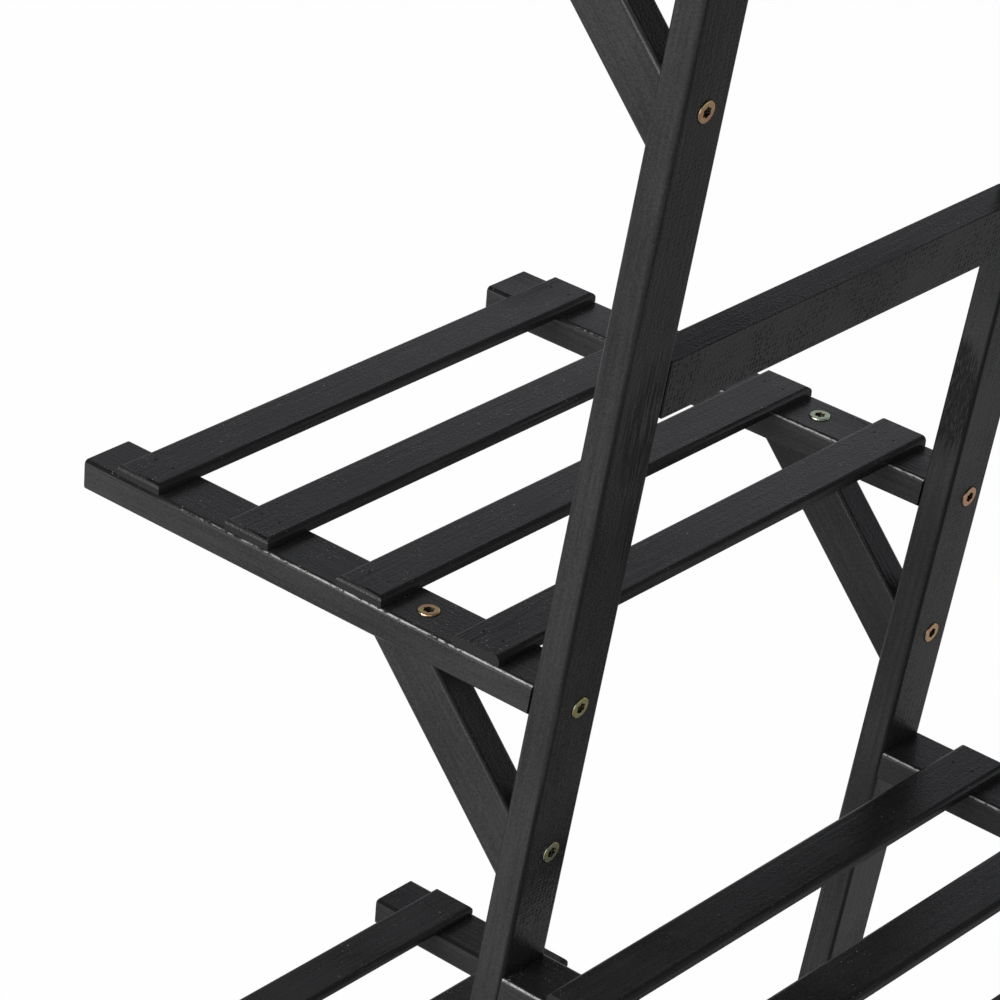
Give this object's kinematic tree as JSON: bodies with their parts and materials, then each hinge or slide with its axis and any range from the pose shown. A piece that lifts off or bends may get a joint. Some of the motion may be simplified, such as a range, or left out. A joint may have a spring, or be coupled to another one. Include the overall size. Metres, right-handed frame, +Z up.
{
  "type": "plant stand",
  "caption": "Tiered slatted wooden plant stand: two leaning ladders with bracketed shelves on both sides, shelves between them and one across their tops",
  "frame": {"origin": "on the floor, in the middle of the stand's width and depth", "axes": "+Z up, X along the shelf bearers from the left ladder to the right one, Y from front to rear"},
  "size_m": [0.7356, 0.25, 1.0565],
  "materials": {
    "frame": "black paint, satin",
    "slats": "black paint, satin"
  },
  "bodies": {
    "root": {"inner_lower_shelf_front_bearer": "frame", "inner_lower_shelf_rear_bearer": "frame", "inner_lower_shelf_slats": "slats", "inner_middle_shelf_front_bearer": "frame", "inner_middle_shelf_rear_bearer": "frame", "inner_middle_shelf_slats": "slats", "left_front_post": "frame", "left_lower_shelf_front_bearer": "frame", "left_lower_shelf_front_brace": "frame", "left_lower_shelf_rear_bearer": "frame", "left_lower_shelf_rear_brace": "frame", "left_lower_shelf_slats": "slats", "left_middle_rail": "frame", "left_middle_shelf_front_bearer": "frame", "left_middle_shelf_front_brace": "frame", "left_middle_shelf_rear_bearer": "frame", "left_middle_shelf_rear_brace": "frame", "left_middle_shelf_slats": "slats", "left_rear_post": "frame", "left_upper_rail": "frame", "left_upper_shelf_front_bearer": "frame", "left_upper_shelf_front_brace": "frame", "left_upper_shelf_rear_bearer": "frame", "left_upper_shelf_rear_brace": "frame", "left_upper_shelf_slats": "slats", "right_front_post": "frame", "right_lower_shelf_front_bearer": "frame", "right_lower_shelf_front_brace": "frame", "right_lower_shelf_rear_bearer": "frame", "right_lower_shelf_rear_brace": "frame", "right_lower_shelf_slats": "slats", "right_middle_rail": "frame", "right_middle_shelf_front_bearer": "frame", "right_middle_shelf_front_brace": "frame", "right_middle_shelf_rear_bearer": "frame", "right_middle_shelf_rear_brace": "frame", "right_middle_shelf_slats": "slats", "right_rear_post": "frame", "right_upper_rail": "frame", "right_upper_shelf_front_bearer": "frame", "right_upper_shelf_front_brace": "frame", "right_upper_shelf_rear_bearer": "frame", "right_upper_shelf_rear_brace": "frame", "right_upper_shelf_slats": "slats", "top_shelf_front_bearer": "frame", "top_shelf_rear_bearer": "frame", "top_shelf_slats": "slats"}
  },
  "joints": []
}
